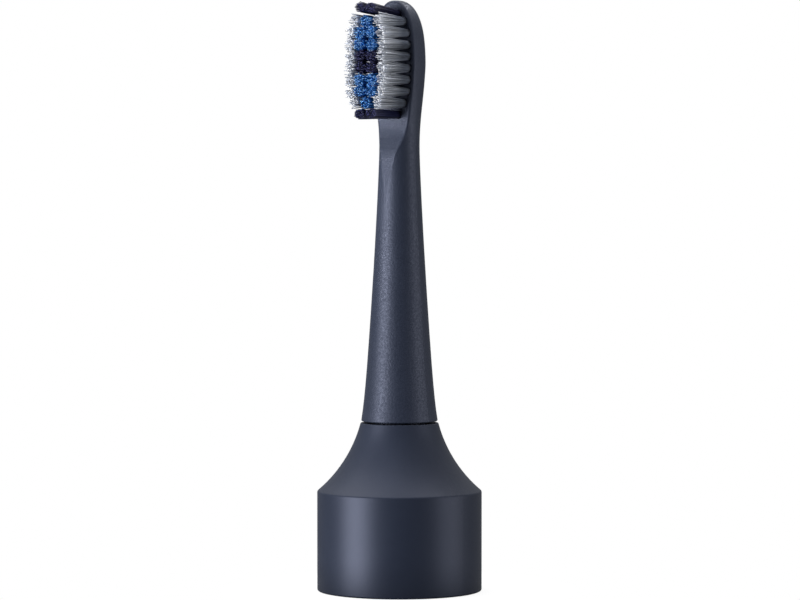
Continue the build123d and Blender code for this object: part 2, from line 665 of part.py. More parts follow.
drive_coupling.part.label = "drive_coupling"
export_step(drive_coupling.part, "parts/drive_coupling.step")

# Crank: stem, disc and eccentric pin
with BuildPart() as crank:
    with BuildSketch(Plane.XY.offset(stem_bottom + PRESS_FIT)):
        Circle(CRANK_STEM_RADIUS)
    extrude(amount=disc_bottom - stem_bottom)
    with BuildSketch(Plane.XY.offset(disc_bottom + PRESS_FIT)):
        Circle(CRANK_DISC_RADIUS)
    extrude(amount=CRANK_DISC_THICKNESS - PRESS_FIT)
    with BuildSketch(Plane.XY.offset(disc_top)):
        with Locations((0, CRANK_THROW)):
            Circle(CRANK_PIN_RADIUS)
    extrude(amount=CRANK_PIN_LENGTH)
crank.part.label = "crank"
export_step(crank.part, "parts/crank.step")

# Flanged bush that the journal runs in
with BuildPart() as crank_bush:
    with BuildSketch(Plane.XY.offset(bridge_bottom)):
        Circle(bush_radius)
    extrude(amount=bush_top - bridge_bottom)
    with BuildSketch(Plane.XY.offset(bridge_top + PRESS_FIT)):
        Circle(BUSH_FLANGE_RADIUS)
    extrude(amount=BUSH_FLANGE_THICKNESS - PRESS_FIT)
    with BuildSketch(Plane.XY.offset(bridge_bottom)):
        Circle(JOURNAL_RADIUS + RUNNING_FIT)
    extrude(amount=bush_top - bridge_bottom, mode=Mode.SUBTRACT)
crank_bush.part.label = "crank_bush"
export_step(crank_bush.part, "parts/crank_bush.step")

# Rubber seal: a flange under the roof, a thin web and a lip round the shaft
lip_inside = SHAFT_RADIUS + SEAL_LIP_GAP
web_top = roof_bottom - SEAL_WEB_DROP
with BuildPart() as shaft_seal:
    with BuildSketch(Plane.XZ):
        Polygon(
            (lip_inside, web_top - SEAL_WEB_THICKNESS),
            (seal_flange_inner, web_top - SEAL_WEB_THICKNESS),
            (seal_flange_inner, seal_flange_bottom),
            (seal_seat_radius - PRESS_FIT, seal_flange_bottom),
            (seal_seat_radius - PRESS_FIT, roof_bottom),
            (seal_flange_inner, roof_bottom),
            (seal_flange_inner, web_top),
            (lip_inside + SEAL_LIP_WALL, web_top),
            (lip_inside + SEAL_LIP_WALL, ADAPTER_HEIGHT - SEAL_LIP_TOP_DROP),
            (lip_inside, ADAPTER_HEIGHT - SEAL_LIP_TOP_DROP),
            align=None,
        )
    revolve(axis=Axis.Z)
shaft_seal.part.label = "shaft_seal"
export_step(shaft_seal.part, "parts/shaft_seal.step")

# Ring that holds the seal up
with BuildPart() as seal_retainer:
    with BuildSketch(Plane.XY.offset(retainer_bottom)):
        Circle(seal_seat_radius - PRESS_FIT)
        Circle(seal_flange_inner, mode=Mode.SUBTRACT)
    extrude(amount=RETAINER_THICKNESS)
seal_retainer.part.label = "seal_retainer"
export_step(seal_retainer.part, "parts/seal_retainer.step")

# Washer between coupling and bridge
with BuildPart() as thrust_washer:
    with BuildSketch(Plane.XY.offset(coupling_top + SLIDING_FIT)):
        Circle(BUSH_FLANGE_RADIUS)
        Circle(JOURNAL_RADIUS + SLIDING_FIT, mode=Mode.SUBTRACT)
    extrude(amount=bridge_bottom - coupling_top - 2 * SLIDING_FIT)
thrust_washer.part.label = "thrust_washer"
export_step(thrust_washer.part, "parts/thrust_washer.step")

# Screws, heads down: one ring into the housing and one into the chassis
screw_bottom = cup_floor_bottom + SCREW_SINK
with BuildPart() as screws:
    for circle, turn in ((boss_circle, BOSS_TURN), (chassis_screw_circle, CHASSIS_SCREW_TURN)):
        with BuildSketch(Plane.XY.offset(screw_bottom)):
            with PolarLocations(circle, SCREW_COUNT, start_angle=turn):
                Circle(SCREW_HEAD_RADIUS)
        extrude(amount=SCREW_HEAD_HEIGHT)
        with BuildSketch(Plane.XY.offset(screw_bottom + SCREW_HEAD_HEIGHT)):
            with PolarLocations(circle, SCREW_COUNT, start_angle=turn):
                Circle(SCREW_RADIUS)
        extrude(amount=SCREW_LENGTH)
        with BuildSketch(Plane.XY.offset(screw_bottom)):
            with PolarLocations(circle, SCREW_COUNT, start_angle=turn):
                Rectangle(SCREW_RECESS_LENGTH, SCREW_RECESS_WIDTH)
                Rectangle(SCREW_RECESS_WIDTH, SCREW_RECESS_LENGTH)
        extrude(amount=SCREW_RECESS_DEPTH, mode=Mode.SUBTRACT)
screws.part.label = "screws"
export_step(screws.part, "parts/screws.step")
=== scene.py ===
# %% [markdown]
# # An electric toothbrush head, dressed for its portrait
#
# The packed model gives the true solids: a navy brush with tufts, a bell-shaped adapter, and the small
# drive inside. This lesson keeps those solids where they are and adds what they can't show: single
# bristles, moulded grain, bare metal, studio light and a camera that stands where the photographer stood.

# %% Load the frame
import math
from collections import namedtuple

import bmesh
import bpy
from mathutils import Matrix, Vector


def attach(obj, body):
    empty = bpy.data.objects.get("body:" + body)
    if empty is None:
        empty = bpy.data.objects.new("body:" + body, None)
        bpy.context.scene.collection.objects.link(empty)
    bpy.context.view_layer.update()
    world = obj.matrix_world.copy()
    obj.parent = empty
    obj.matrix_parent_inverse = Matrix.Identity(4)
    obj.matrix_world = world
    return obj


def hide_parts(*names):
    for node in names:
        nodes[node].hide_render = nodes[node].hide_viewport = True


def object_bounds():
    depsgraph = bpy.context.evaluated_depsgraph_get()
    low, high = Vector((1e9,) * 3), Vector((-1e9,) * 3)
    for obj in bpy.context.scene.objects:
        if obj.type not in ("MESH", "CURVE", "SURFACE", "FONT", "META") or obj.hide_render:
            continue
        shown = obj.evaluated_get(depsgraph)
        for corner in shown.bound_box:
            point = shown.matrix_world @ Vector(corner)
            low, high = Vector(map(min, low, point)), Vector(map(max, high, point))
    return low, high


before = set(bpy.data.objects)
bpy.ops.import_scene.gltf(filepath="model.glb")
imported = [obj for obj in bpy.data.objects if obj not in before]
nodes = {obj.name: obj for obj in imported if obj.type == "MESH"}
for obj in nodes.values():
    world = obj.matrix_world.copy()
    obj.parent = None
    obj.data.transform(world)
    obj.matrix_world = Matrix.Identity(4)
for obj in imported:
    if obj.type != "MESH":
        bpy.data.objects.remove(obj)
cad_low, cad_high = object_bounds()
scene = bpy.context.scene
MM = 0.001
print("nodes:", len(nodes), "height in mm:", round((cad_high.z - cad_low.z) / MM, 2))

# %% [markdown]
# ## Camera
#
# The photograph looks at the bristles from about forty degrees to one side, from a little above the
# middle of the stem. The perspective is weak, so the camera stands well back with a long lens. The lens
# could be tried out by eye. It follows instead from one measured size, how many millimetres of the brush
# one pixel covers, so that render and photograph can be laid over each other.

# %% Place the camera
CAMERA_AZIMUTH = math.radians(40)
CAMERA_DISTANCE = 820 * MM
CAMERA_HEIGHT = 96 * MM
PIXEL_SIZE = 0.2245 * MM
IMAGE_WIDTH = 800
AIM_HEIGHT = 65.34 * MM
AIM_RIGHT = 0.12 * MM
CLIP_NEAR = 50 * MM
CLIP_FAR = 20

towards_camera = Vector((math.sin(CAMERA_AZIMUTH), -math.cos(CAMERA_AZIMUTH), 0))
image_right = Vector((math.cos(CAMERA_AZIMUTH), math.sin(CAMERA_AZIMUTH), 0))
aim = image_right * AIM_RIGHT + Vector((0, 0, AIM_HEIGHT))
stand = image_right * AIM_RIGHT + towards_camera * CAMERA_DISTANCE + Vector((0, 0, CAMERA_HEIGHT))

camera = bpy.data.objects.new("camera", bpy.data.cameras.new("camera"))
scene.collection.objects.link(camera)
camera.location = stand
camera.rotation_euler = (aim - stand).to_track_quat("-Z", "Y").to_euler()
camera.data.lens = camera.data.sensor_width * (aim - stand).length / (IMAGE_WIDTH * PIXEL_SIZE)
camera.data.clip_start = CLIP_NEAR
camera.data.clip_end = CLIP_FAR
scene.camera = camera
print("lens in mm:", round(camera.data.lens, 1))

# %% [markdown]
# ## Light
#
# A rounded plastic thing shows its form by the reflections of its lamps. The photograph has a bright strip
# down the left third, a faint one near the right edge and a soft sheen from above on the bell. Three area
# lamps make them, placed by their angle from the camera. A reflection on a round post sits halfway between
# the camera and the lamp, so a strip at thirty degrees needs a lamp at sixty. Three small lamps with a
# narrow beam reach the head alone. One lightens its crown from behind, and one the bare face under the
# bristles. The third shines into the bristles from the left, and gloss doesn't see it, so that the stem
# shows no third strip.

# %% Hang the lamps
LAMP_REACH = 620 * MM
BEAM_REACH = 240 * MM
OPEN_BEAM = 180


def studio_direction(right_turn, rise):
    """Direction from the brush, turned to the right of the camera and raised, in degrees."""
    turn, lift = math.radians(right_turn), math.radians(rise)
    level = towards_camera * math.cos(turn) + image_right * math.sin(turn)
    return level * math.cos(lift) + Vector((0, 0, math.sin(lift)))


def hang_lamp(name, direction, size, power, reach=LAMP_REACH, aim_height=AIM_HEIGHT, beam=OPEN_BEAM):
    """A lamp that looks at the brush's axis. size is width and height in millimetres, beam in degrees."""
    lamp = bpy.data.lights.new(name, "AREA")
    lamp.shape = "RECTANGLE"
    lamp.size = size[0] * MM
    lamp.size_y = size[1] * MM
    lamp.energy = power
    lamp.spread = math.radians(beam)
    holder = bpy.data.objects.new(name, lamp)
    scene.collection.objects.link(holder)
    holder.location = Vector((0, 0, aim_height)) + direction * reach
    holder.rotation_euler = (-direction).to_track_quat("-Z", "Y").to_euler()
    print(name, "at", [round(value, 2) for value in holder.location])
    return holder


def hang_small_lamp(name, direction, side, power, beam, drop):
    """A square lamp with a narrow beam, aimed some millimetres below the top of the brush."""
    return hang_lamp(name, direction, (side, side), power, BEAM_REACH, cad_high.z - drop * MM, beam)


hang_lamp("left_strip", studio_direction(-62, -5), size=(350, 430), power=6.1)
hang_lamp("right_strip", studio_direction(73, -4), size=(420, 440), power=1.7)
hang_lamp("top_softbox", studio_direction(-140, 74), size=(800, 800), power=4.0)
bristle_side = studio_direction(-116, 20)
back_light = hang_small_lamp("back_light", bristle_side, side=90, power=0.03, beam=20, drop=13)
back_light.visible_glossy = False
hang_small_lamp("crown_light", studio_direction(130, 46), side=90, power=0.007, beam=16, drop=0)
hang_small_lamp("face_light", studio_direction(-82, -6), side=60, power=0.003, beam=12, drop=29)

# %% [markdown]
# ## Trees of nodes
#
# Blender describes surroundings, finishes and the growth of bristles as trees of nodes, in which the
# outputs of some feed the inputs of others. Each node could be added and linked line by line. A small
# class with short words for that keeps the steps below readable, and it serves all three kinds of tree.

# %% Make short words for nodes
class Wires:
    """Short words for adding nodes to a tree and feeding their inputs."""

    def __init__(self, tree):
        self.tree = tree

    def feed(self, node, inputs):
        """Link each input to a socket, or set it to a value."""
        for socket, value in inputs.items():
            if isinstance(value, bpy.types.NodeSocket):
                self.tree.links.new(value, node.inputs[socket])
            else:
                node.inputs[socket].default_value = value

    def add(self, kind, inputs=(), **settings):
        """A new node with its settings made and its inputs fed."""
        node = self.tree.nodes.new(kind)
        for name, value in settings.items():
            setattr(node, name, value)
        self.feed(node, dict(inputs))
        return node

    def math(self, operation, first, second=0.0):
        """The result of a calculation with one or two numbers."""
        return self.add("ShaderNodeMath", {0: first, 1: second}, operation=operation).outputs[0]

    def stretch(self, value, from_low, from_high, low=0.0, high=1.0):
        """A value mapped from one range to another, held at the ends."""
        ends = {"From Min": from_low, "From Max": from_high, "To Min": low, "To Max": high}
        return self.add("ShaderNodeMapRange", {"Value": value, **ends}).outputs["Result"]

    def split(self, vector):
        """The three parts of a vector."""
        return self.add("ShaderNodeSeparateXYZ", {"Vector": vector}).outputs

    def join(self, x, y, z):
        """A vector made of three parts."""
        return self.add("ShaderNodeCombineXYZ", {"X": x, "Y": y, "Z": z}).outputs[0]


print("words for nodes:", [word for word in vars(Wires) if not word.startswith("_")])

# %% [markdown]
# ## Surroundings
#
# The photograph has a white backdrop. A plain white world would show it, but it would also wash out the
# navy from all sides. So the surroundings are white for the camera and for see-through things. Gloss meets
# a small share of that white, in a dim room whose ceiling is brighter. That keeps the navy dark, with a
# sheen where the plastic looks up.

# %% Make the world
WHITE = (1, 1, 1, 1)
ROOM_LEVEL = 0.15
CEILING_LEVEL = 0.9
GLOSS_SHARE = 0.1


def white_where_seen(wires):
    """Socket that is 1 for camera and see-through rays, and the gloss share for glossy ones."""
    path = wires.add("ShaderNodeLightPath").outputs
    seen = wires.math("MAXIMUM", path["Is Camera Ray"], path["Is Transmission Ray"])
    return wires.math("MAXIMUM", seen, wires.math("MULTIPLY", path["Is Glossy Ray"], GLOSS_SHARE))


world = bpy.data.worlds.new("studio")
scene.world = world
world.use_nodes = True
wires = Wires(world.node_tree)
upward = wires.split(wires.add("ShaderNodeTexCoord").outputs["Generated"])["Z"]
glossy_ray = wires.add("ShaderNodeLightPath").outputs["Is Glossy Ray"]
room = wires.add(
    "ShaderNodeMapRange",
    {"Value": wires.math("MULTIPLY", upward, glossy_ray), "To Min": ROOM_LEVEL, "To Max": CEILING_LEVEL},
    interpolation_type="SMOOTHSTEP",
)
strength = wires.stretch(white_where_seen(wires), 0, 1, room.outputs["Result"])
wires.feed(world.node_tree.nodes["Background"], {"Color": WHITE, "Strength": strength})
print("room level:", ROOM_LEVEL, "ceiling level:", CEILING_LEVEL)

# %% [markdown]
# The floor could be an endless white sheet, but a large one would light the navy from below. It is a small
# round sheet of grey paper instead. The grey takes the shadow, and a glow that the camera sees lifts it
# towards the white of the backdrop.

# %% Lay the floor
FLOOR_RADIUS = 40 * MM
FLOOR_SIDES = 96
FLOOR_DROP = 0.05 * MM
FLOOR_GREY = 0.3
FLOOR_GLOW = 0.86

floor_height = cad_low.z - FLOOR_DROP
corners = []
for side in range(FLOOR_SIDES):
    turn = 2 * math.pi * side / FLOOR_SIDES
    corners.append((FLOOR_RADIUS * math.cos(turn), FLOOR_RADIUS * math.sin(turn), floor_height))
floor_mesh = bpy.data.meshes.new("floor")
floor_mesh.from_pydata(corners, [], [range(FLOOR_SIDES)])
floor = bpy.data.objects.new("floor", floor_mesh)
scene.collection.objects.link(floor)

paper = bpy.data.materials.new("floor_paper")
paper.use_nodes = True
paper.node_tree.nodes.clear()
wires = Wires(paper.node_tree)
matte = wires.add("ShaderNodeBsdfDiffuse", {"Color": (FLOOR_GREY, FLOOR_GREY, FLOOR_GREY, 1)})
strength = wires.stretch(white_where_seen(wires), 0, 1, 0, FLOOR_GLOW)
glow = wires.add("ShaderNodeEmission", {"Strength": strength})
both = wires.add("ShaderNodeAddShader", {0: matte.outputs[0], 1: glow.outputs[0]})
wires.add("ShaderNodeOutputMaterial", {"Surface": both.outputs[0]})
floor_mesh.materials.append(paper)
print("floor at", round(floor_height / MM, 2), "mm")

# %% [markdown]
# ## Moulded navy plastic
#
# Brush and adapter look like the same navy plastic from two moulds. The brush has a fine leathery grain,
# as a mould that was eroded by sparks leaves it, and the grain scatters the highlight. The adapter is only
# matted. The grain could be painted, but noise needs no picture and has the same size all over. Both skins
# use one recipe: a coarse noise lets the base colour drift a little, and a fine one makes the gloss uneven
# and lifts the surface.

# %% Write the plastic recipe
NOISE_LOW = 0.3
NOISE_HIGH = 0.7
NOISE_DETAIL = 2.0
CLOUD_SIZE = 6


def srgb(red, green, blue):
    """Linear colour from the eight-bit values that a colour picker shows."""
    values = []
    for value in (red, green, blue):
        share = value / 255
        values.append(share / 12.92 if share <= 0.04045 else ((share + 0.055) / 1.055) ** 2.4)
    return (*values, 1)


def noise(wires, where, size):
    """Noise with blobs of about the given size in millimetres."""
    inputs = {"Vector": where, "Scale": 1 / (size * MM), "Detail": NOISE_DETAIL}
    return wires.add("ShaderNodeTexNoise", inputs).outputs["Fac"]


def two_tones(wires, factor, first, second, start=NOISE_LOW, stop=NOISE_HIGH):
    """A ramp from one colour to another."""
    ramp = wires.add("ShaderNodeValToRGB", {"Fac": factor})
    first_stop, second_stop = ramp.color_ramp.elements
    first_stop.position = start
    first_stop.color = first
    second_stop.position = stop
    second_stop.color = second
    return ramp.outputs["Color"]


def new_material(name):
    """A material, the wires of its tree and its shader."""
    material = bpy.data.materials.new(name)
    material.use_nodes = True
    return material, Wires(material.node_tree), material.node_tree.nodes["Principled BSDF"]


def moulded(name, dark, light, gloss, grain_size, grain_height, specular=0.5, metallic=0.0, sheen=WHITE):
    """A skin with drifting colour, uneven gloss and a fine grain. gloss is the range of roughness."""
    material, wires, shader = new_material(name)
    where = wires.add("ShaderNodeTexCoord").outputs["Object"]
    cloud = noise(wires, where, CLOUD_SIZE)
    grain = noise(wires, where, grain_size)
    bump = wires.add("ShaderNodeBump", {"Height": grain, "Distance": grain_height * MM})
    skin = {
        "Base Color": two_tones(wires, cloud, dark, light),
        "Roughness": wires.stretch(grain, NOISE_LOW, NOISE_HIGH, *gloss),
        "Normal": bump.outputs["Normal"],
        "Specular IOR Level": specular,
        "Specular Tint": sheen,
        "Metallic": metallic,
    }
    wires.feed(shader, skin)
    return material


print("a middle grey of 128 is", round(srgb(128, 128, 128)[0], 3), "in linear colour")

# %% [markdown]
# The two navy skins differ in their grain. The brush's is coarse and deep, the adapter's so fine and low
# that it only dulls the gloss. The gloss is tinted, because the photograph's highlights are bluish.

# %% Mix the navy plastics
cool_gloss = srgb(216, 224, 255)
grained_navy = moulded(
    "grained_navy",
    dark=srgb(27, 33, 47),
    light=srgb(31, 37, 51),
    gloss=(0.4, 0.58),
    grain_size=0.46,
    grain_height=0.05,
    specular=0.46,
    sheen=cool_gloss,
)
matted_navy = moulded(
    "matted_navy",
    dark=srgb(27, 33, 47),
    light=srgb(30, 36, 50),
    gloss=(0.42, 0.48),
    grain_size=0.16,
    grain_height=0.003,
    specular=0.38,
    sheen=cool_gloss,
)
print("plastic:", grained_navy.name, matted_navy.name)

# %% [markdown]
# ## Inside materials
#
# What is inside shows when the brush is pulled off or the adapter is turned over: a ground steel shaft, a
# bronze bush, white and black mouldings and a rubber lip. They use the same recipe with other numbers.

# %% Mix the inside materials
black_moulding = moulded(
    "black_moulding",
    dark=srgb(22, 23, 25),
    light=srgb(30, 31, 33),
    gloss=(0.45, 0.6),
    grain_size=0.3,
    grain_height=0.01,
)
white_moulding = moulded(
    "white_moulding",
    dark=srgb(214, 213, 208),
    light=srgb(224, 223, 219),
    gloss=(0.35, 0.5),
    grain_size=0.4,
    grain_height=0.006,
)
soft_rubber = moulded(
    "soft_rubber",
    dark=srgb(30, 31, 33),
    light=srgb(40, 41, 43),
    gloss=(0.6, 0.75),
    grain_size=0.25,
    grain_height=0.01,
    specular=0.3,
)
ground_steel = moulded(
    "ground_steel",
    dark=srgb(178, 180, 184),
    light=srgb(196, 198, 201),
    gloss=(0.2, 0.34),
    grain_size=0.12,
    grain_height=0.003,
    metallic=1.0,
)
sintered_bronze = moulded(
    "sintered_bronze",
    dark=srgb(150, 112, 66),
    light=srgb(176, 134, 82),
    gloss=(0.32, 0.5),
    grain_size=0.2,
    grain_height=0.006,
    metallic=1.0,
)
print("inside:", [finish.name for finish in (black_moulding, white_moulding, soft_rubber)])
print("metal:", [finish.name for finish in (ground_steel, sintered_bronze)])

# %% [markdown]
# The solids that stay as they are need nothing but a material. Each could be dressed in a line of its own.
# One list of pieces and finishes is easier to read and to change.

# %% Finish the pieces that stay as solids
finishes = {
    "brush_body": grained_navy,
    "adapter_housing": matted_navy,
    "socket_cup": black_moulding,
    "chassis": black_moulding,
    "drive_coupling": white_moulding,
    "swing_lever": white_moulding,
    "seal_retainer": black_moulding,
    "cup_seal": soft_rubber,
    "shaft_seal": soft_rubber,
    "pivot_pin": ground_steel,
    "output_shaft": ground_steel,
    "crank": ground_steel,
    "screws": ground_steel,
    "tuft_anchors": ground_steel,
    "thrust_washer": sintered_bronze,
    "crank_bush": sintered_bronze,
}
for node, material in finishes.items():
    nodes[node].data.materials.clear()
    nodes[node].data.materials.append(material)
print("finished solids:", len(finishes))

# %% [markdown]
# ## Bristles
#
# Each tuft of the packed model is one solid: a bundle's outer shape. The real thing is a bundle of nylon
# threads folded into a hole. The bundles could be placed by hand, but then they could drift away from the
# solids. So the places come from the solids themselves: each tuft is an island of its node's mesh, with a
# round root in the head and an oval brim near the tip.

# %% Tell the tufts apart
MERGE_DISTANCE = 0.001 * MM


def tuft_islands(node):
    """Lists of corners, one list for each loose solid of a node."""
    work = bmesh.new()
    work.from_mesh(nodes[node].data)
    bmesh.ops.remove_doubles(work, verts=work.verts, dist=MERGE_DISTANCE)
    islands, seen = [], set()
    for start in work.verts:
        if start in seen:
            continue
        island, queue = [], [start]
        seen.add(start)
        while queue:
            corner = queue.pop()
            island.append(corner.co.copy())
            for edge in corner.link_edges:
                neighbour = edge.other_vert(corner)
                if neighbour not in seen:
                    seen.add(neighbour)
                    queue.append(neighbour)
        islands.append(island)
    work.free()
    return islands


print("pale tufts:", len(tuft_islands("grey_side_tufts")))

# %% [markdown]
# A tuft's root is measured where its solid meets the face of the head, and its tip over the last half
# millimetre or so. The photograph's outer rows flare away from the middle, so a tip can be moved outwards.
# A few numbers per tuft are enough, and they travel as attributes on one point per tuft.

# %% Measure where each tuft stands
FACE_DEPTH = -2.4 * MM
ROOT_DEPTH = 0.3 * MM
TIP_ZONE = 0.6 * MM


def middle_and_half(corners):
    """Middle and half size of a set of corners."""
    low = Vector([min(corner[axis] for corner in corners) for axis in range(3)])
    high = Vector([max(corner[axis] for corner in corners) for axis in range(3)])
    return (low + high) / 2, (high - low) / 2


def tuft_points(node, flare):
    """A mesh of one point per tuft, at its root, that carries where the tip is and how wide both ends are.

    The three half sizes are the tip's across the head, the root's, and the tip's along the head.
    """
    roots, tips, halves, ranks = [], [], [], []
    for rank, island in enumerate(tuft_islands(node)):
        front = min(corner.y for corner in island)
        near_tip = [corner for corner in island if corner.y < front + TIP_ZONE]
        near_root = [corner for corner in island if corner.y > FACE_DEPTH - ROOT_DEPTH]
        tip, tip_half = middle_and_half(near_tip)
        root, root_half = middle_and_half(near_root)
        roots.append((root.x, FACE_DEPTH + ROOT_DEPTH, root.z))
        tips.append((tip.x + math.copysign(flare * MM, tip.x), front, tip.z))
        halves.append((tip_half.x, root_half.x, tip_half.z))
        ranks.append(rank)
    mesh = bpy.data.meshes.new(node + "_points")
    mesh.from_pydata(roots, [], [])
    for name, values in (("tip", tips), ("half", halves)):
        layer = mesh.attributes.new(name, "FLOAT_VECTOR", "POINT")
        layer.data.foreach_set("vector", [value for place in values for value in place])
    layer = mesh.attributes.new("rank", "INT", "POINT")
    layer.data.foreach_set("value", ranks)
    return mesh


first_half = middle_and_half(tuft_islands("grey_side_tufts")[0])[1]
print("half size of the first pale tuft in mm:", [round(value / MM, 2) for value in first_half])

# %% [markdown]
# A real thread is a round nylon filament with a rounded end. Blender's hair could show it. A mesh was
# chosen, because the finished model is exported as meshes. The thread is a thin six-sided rod, one unit
# long, that narrows at its end and is stretched to length where it stands. Its rings are gathered near the
# tip, where the form changes. Each corner keeps how far along the thread it is, for the finish to read.

# %% Shape one thread
ROD_PARTS = 3
RING_CROWDING = 4.0
TAPER = 0.4
TAPER_POWER = 3.0


def keep(wires, geometry, name, value, domain):
    """The geometry with a number stored on each of its points or instances."""
    inputs = {"Geometry": geometry, "Name": name, "Value": value}
    node = wires.add("GeometryNodeStoreNamedAttribute", inputs, data_type="FLOAT", domain=domain)
    return node.outputs["Geometry"]


def thread_rod(wires, sides, radius):
    """A rod of length 1 along Z with a narrowed end; it knows how far along each corner is."""
    rod = wires.add(
        "GeometryNodeMeshCylinder",
        {"Vertices": sides, "Side Segments": ROD_PARTS, "Radius": 1.0, "Depth": 1.0},
        fill_type="NGON",
    )
    x, y, z = wires.split(wires.add("GeometryNodeInputPosition").outputs[0])
    step = wires.math("ADD", z, 0.5)
    to_tip = wires.math("SUBTRACT", 1.0, step)
    along = wires.math("SUBTRACT", 1.0, wires.math("POWER", to_tip, RING_CROWDING))
    narrowing = wires.math("MULTIPLY", wires.math("POWER", step, TAPER_POWER), TAPER)
    width = wires.math("MULTIPLY", radius, wires.math("SUBTRACT", 1.0, narrowing))
    place = wires.join(wires.math("MULTIPLY", x, width), wires.math("MULTIPLY", y, width), along)
    shaped = wires.add("GeometryNodeSetPosition", {"Geometry": rod.outputs["Mesh"], "Position": place})
    height = wires.split(wires.add("GeometryNodeInputPosition").outputs[0])["Z"]
    return keep(wires, shaped.outputs["Geometry"], "along", height, "POINT")


print("rings on a thread:", ROD_PARTS + 1, "share of its width at the end:", 1 - TAPER)

# %% [markdown]
# A tuft holds dozens of threads, packed evenly in its hole. Loops in Python could place them. A tree of
# Geometry Nodes was chosen, because its numbers can be tried out in Blender's own window. It copies each
# tuft's point once per thread, lays the copies on a sunflower spiral, which fills a circle evenly, and
# stands a rod on each. The rod leans from its place in the hole to the same place on the wider tip, so the
# bundle spreads as the solid does. Fixed seeds let the threads differ in length, lean and shade without
# changing from run to run.

# %% Write the steps of the growth
GOLDEN_TURN = math.pi * (3 - math.sqrt(5))


def read(wires, name, data_type):
    """A number or vector that the points carry."""
    node = wires.add("GeometryNodeInputNamedAttribute", {"Name": name}, data_type=data_type)
    return node.outputs["Attribute"]


def chance(wires, low, high, seed, number):
    """A random number for each thing that is counted by number."""
    inputs = {2: low, 3: high, "ID": number, "Seed": seed}
    return wires.add("FunctionNodeRandomValue", inputs, data_type="FLOAT").outputs[1]


def tree_inputs(tree):
    """Inputs of the tree with their usual values, and the keys by which a modifier knows them."""
    usual = {
        "Tufts": ("NodeSocketGeometry", None),
        "Threads per tuft": ("NodeSocketInt", 90),
        "Sides": ("NodeSocketInt", 6),
        "Thread radius": ("NodeSocketFloat", 0.1 * MM),
        "Tip spread": ("NodeSocketFloat", 1.15),
        "Length spread": ("NodeSocketFloat", 0.2 * MM),
        "Sway": ("NodeSocketFloat", 0.25 * MM),
        "Tuft lean": ("NodeSocketFloat", 0.15 * MM),
        "Seed": ("NodeSocketInt", 1),
        "Finish": ("NodeSocketMaterial", None),
    }
    keys = {}
    for name, (kind, value) in usual.items():
        socket = tree.interface.new_socket(name, in_out="INPUT", socket_type=kind)
        if value is not None:
            socket.default_value = value
        keys[name] = socket.identifier
    return keys


def sunflower(wires, number, count, first_turn):
    """Place of a thread on a disc of radius 1: across the head and along it."""
    reach = wires.math("SQRT", wires.math("DIVIDE", wires.math("ADD", number, 0.5), count))
    turn = wires.math("ADD", wires.math("MULTIPLY", number, GOLDEN_TURN), first_turn)
    across = wires.math("MULTIPLY", reach, wires.math("COSINE", turn))
    along = wires.math("MULTIPLY", reach, wires.math("SINE", turn))
    return across, along


print("turn from thread to thread in degrees:", round(math.degrees(GOLDEN_TURN), 1))

# %% [markdown]
# The steps are joined into one tree. A thread's own number, and its tuft's, pick its random numbers. So
# every thread sways by itself, and the threads of one tuft also lean together.

# %% Build the tree that grows threads
TUFT_STEP = 1000.0
SEED_ACROSS = 1.0
SEED_ALONG = 3.0
SEED_SHADE = 5.0


